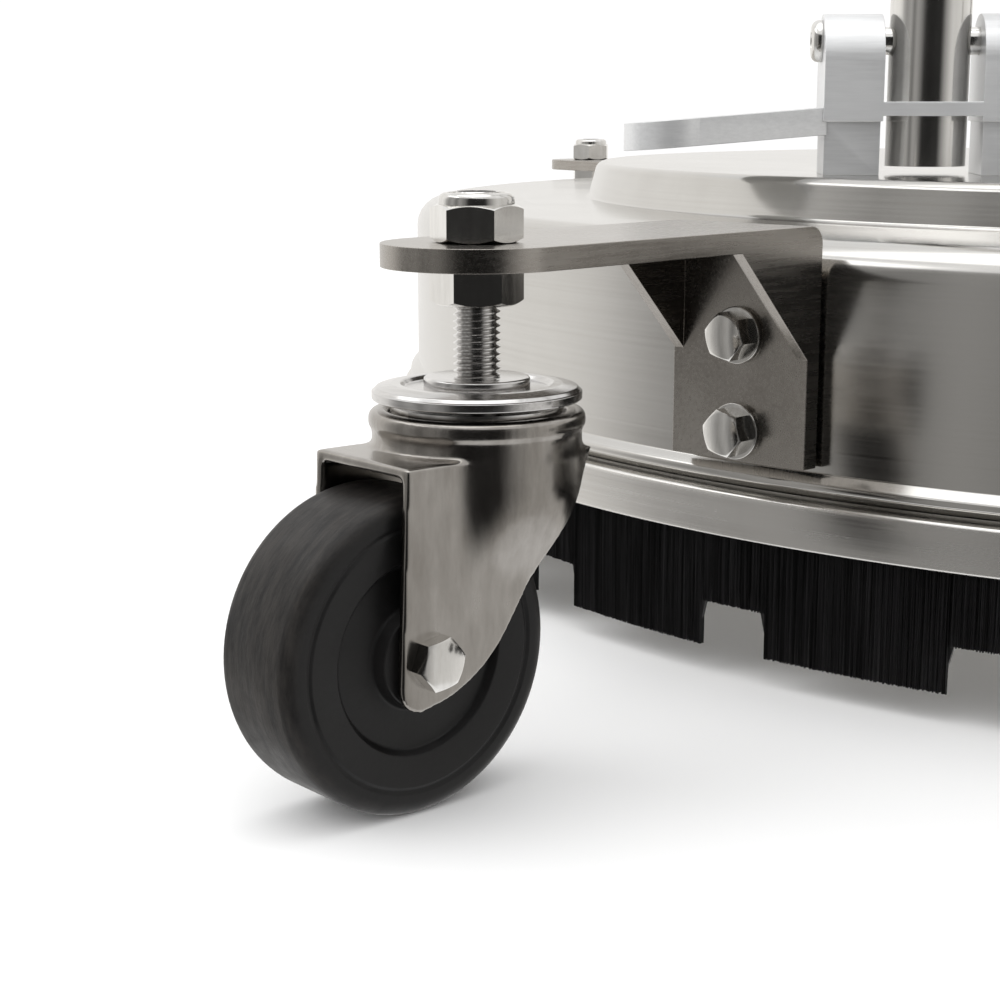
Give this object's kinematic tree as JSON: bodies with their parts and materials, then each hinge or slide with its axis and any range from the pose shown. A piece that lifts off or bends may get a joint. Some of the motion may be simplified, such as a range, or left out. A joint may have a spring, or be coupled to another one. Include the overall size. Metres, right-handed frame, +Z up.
{
  "type": "surface cleaner",
  "caption": "Round stainless flat-surface cleaner on swivel casters, with a brush skirt, a spinning spray bar under the deck and a tilting push handle with a trigger valve.",
  "frame": {"origin": "on the floor, on the deck's axis", "axes": "+Z up, +X to the operator's right, +Y forwards, away from the operator"},
  "size_m": [0.6096, 0.7178, 1.0085],
  "materials": {
    "deck_steel": "brushed and polished stainless sheet",
    "rim_steel": "brushed stainless sheet",
    "bristle": "black nylon bristle",
    "arm_steel": "brushed stainless plate",
    "race_steel": "bright stainless",
    "fork_steel": "satin stainless pressing",
    "wheel_rubber": "black moulded rubber",
    "bush_bronze": "plain bearing bronze",
    "fastener_steel": "bright stainless fastener",
    "mount_aluminium": "satin anodised",
    "tube_steel": "polished stainless tube",
    "grip_rubber": "black rubber",
    "gun_plastic": "moulded black plastic",
    "trigger_plastic": "moulded dark grey plastic",
    "swivel_steel": "turned stainless",
    "bearing_steel": "ground bearing steel",
    "nozzle_steel": "turned stainless"
  },
  "bodies": {
    "deck": {"deck_band": "deck_steel", "deck_pan": "deck_steel", "rim_ring": "rim_steel", "brush_skirt": "bristle", "arm_bolts": "fastener_steel", "arm_washers": "fastener_steel", "arm_nuts": "fastener_steel", "stem_lock_nuts": "fastener_steel", "stem_jam_nuts": "fastener_steel", "handle_mount_left": "mount_aluminium", "handle_mount_right": "mount_aluminium", "mount_screws": "fastener_steel", "pivot_bolts": "fastener_steel", "swivel_body": "swivel_steel", "swivel_screws": "fastener_steel", "swivel_bearings": "bearing_steel", "swivel_caps": "race_steel", "ball_races": "race_steel", "rear_left_arm": "arm_steel", "rear_left_stem": "race_steel", "rear_right_arm": "arm_steel", "rear_right_stem": "race_steel", "front_left_arm": "arm_steel", "front_left_stem": "race_steel", "front_right_arm": "arm_steel", "front_right_stem": "race_steel"},
    "rear_left_caster": {"rear_left_fork": "fork_steel", "rear_left_axle_bolt": "fastener_steel", "rear_left_axle_nut": "fastener_steel", "rear_left_axle_bush": "bush_bronze"},
    "rear_left_wheel": {"rear_left_wheel": "wheel_rubber"},
    "rear_right_caster": {"rear_right_fork": "fork_steel", "rear_right_axle_bolt": "fastener_steel", "rear_right_axle_nut": "fastener_steel", "rear_right_axle_bush": "bush_bronze"},
    "rear_right_wheel": {"rear_right_wheel": "wheel_rubber"},
    "front_left_caster": {"front_left_fork": "fork_steel", "front_left_axle_bolt": "fastener_steel", "front_left_axle_nut": "fastener_steel", "front_left_axle_bush": "bush_bronze"},
    "front_left_wheel": {"front_left_wheel": "wheel_rubber"},
    "front_right_caster": {"front_right_fork": "fork_steel", "front_right_axle_bolt": "fastener_steel", "front_right_axle_nut": "fastener_steel", "front_right_axle_bush": "bush_bronze"},
    "front_right_wheel": {"front_right_wheel": "wheel_rubber"},
    "rotor": {"rotor_spindle": "swivel_steel", "rotor_hub": "swivel_steel", "spray_tube_left": "swivel_steel", "spray_tube_right": "swivel_steel", "spray_nozzle_left": "nozzle_steel", "spray_nozzle_right": "nozzle_steel"},
    "handle": {"handle_fork": "tube_steel", "handle_tee": "tube_steel", "grip_left": "grip_rubber", "grip_right": "grip_rubber", "gun_body": "gun_plastic", "feed_pipe": "tube_steel"},
    "trigger": {"gun_trigger": "trigger_plastic"}
  },
  "joints": [
    {"name": "rear_left_swivel", "type": "hinge", "parent": "deck", "child": "rear_left_caster", "pos_m": [-0.25012, -0.30997, 0.085], "axis": [0, 0, 1], "continuous": true},
    {"name": "rear_left_roll", "type": "hinge", "parent": "rear_left_caster", "child": "rear_left_wheel", "pos_m": [-0.26758, -0.32744, 0.034], "axis": [0.7071, -0.7071, 0], "continuous": true},
    {"name": "rear_right_swivel", "type": "hinge", "parent": "deck", "child": "rear_right_caster", "pos_m": [0.25012, -0.30997, 0.085], "axis": [0, 0, 1], "continuous": true},
    {"name": "rear_right_roll", "type": "hinge", "parent": "rear_right_caster", "child": "rear_right_wheel", "pos_m": [0.26758, -0.32744, 0.034], "axis": [0.7071, 0.7071, 0], "continuous": true},
    {"name": "front_left_swivel", "type": "hinge", "parent": "deck", "child": "front_left_caster", "pos_m": [-0.25012, 0.30997, 0.085], "axis": [0, 0, 1], "continuous": true},
    {"name": "front_left_roll", "type": "hinge", "parent": "front_left_caster", "child": "front_left_wheel", "pos_m": [-0.26758, 0.32744, 0.034], "axis": [-0.7071, -0.7071, 0], "continuous": true},
    {"name": "front_right_swivel", "type": "hinge", "parent": "deck", "child": "front_right_caster", "pos_m": [0.25012, 0.30997, 0.085], "axis": [0, 0, 1], "continuous": true},
    {"name": "front_right_roll", "type": "hinge", "parent": "front_right_caster", "child": "front_right_wheel", "pos_m": [0.26758, 0.32744, 0.034], "axis": [-0.7071, 0.7071, 0], "continuous": true},
    {"name": "rotor_spin", "type": "hinge", "parent": "deck", "child": "rotor", "pos_m": [0, 0, 0.0775], "axis": [0, 0, 1], "continuous": true},
    {"name": "handle_tilt", "type": "hinge", "parent": "deck", "child": "handle", "pos_m": [0, -0.1328, 0.1637], "axis": [1, 0, 0], "range_deg": [0, 75]},
    {"name": "trigger_squeeze", "type": "hinge", "parent": "handle", "child": "trigger", "pos_m": [0, -0.0481, 0.872], "axis": [-1, 0, 0], "range_deg": [0, 12], "stiffness_Nm_per_rad": 0.6, "springref_deg": -14.32}
  ]
}
